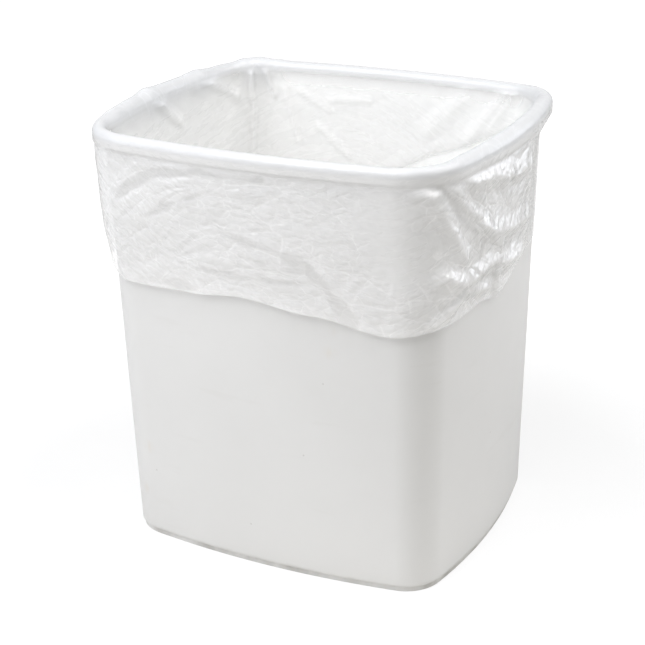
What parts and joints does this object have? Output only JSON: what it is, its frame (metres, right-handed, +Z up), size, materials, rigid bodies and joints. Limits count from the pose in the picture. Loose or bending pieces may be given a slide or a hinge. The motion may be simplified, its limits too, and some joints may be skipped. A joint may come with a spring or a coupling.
{
  "type": "lined waste bin",
  "caption": "Open rectangular waste bin with bowed tapered walls, foot and rolled rim, lined with a translucent film bag whose creased cuff folds over the rim.",
  "frame": {"origin": "middle of the foot, at the level of the surface that the bin stands on", "axes": "+Z up, X along the long sides, Y across; the front, where the hem shows, faces -Y"},
  "size_m": [0.3548, 0.3096, 0.3835],
  "materials": {
    "bin_plastic": "satin moulded, off-white, lightly marked",
    "bag_film": "thin milky translucent film, glossy on its creases"
  },
  "bodies": {
    "root": {"bin": "bin_plastic", "liner_bag": "bag_film"}
  },
  "joints": []
}
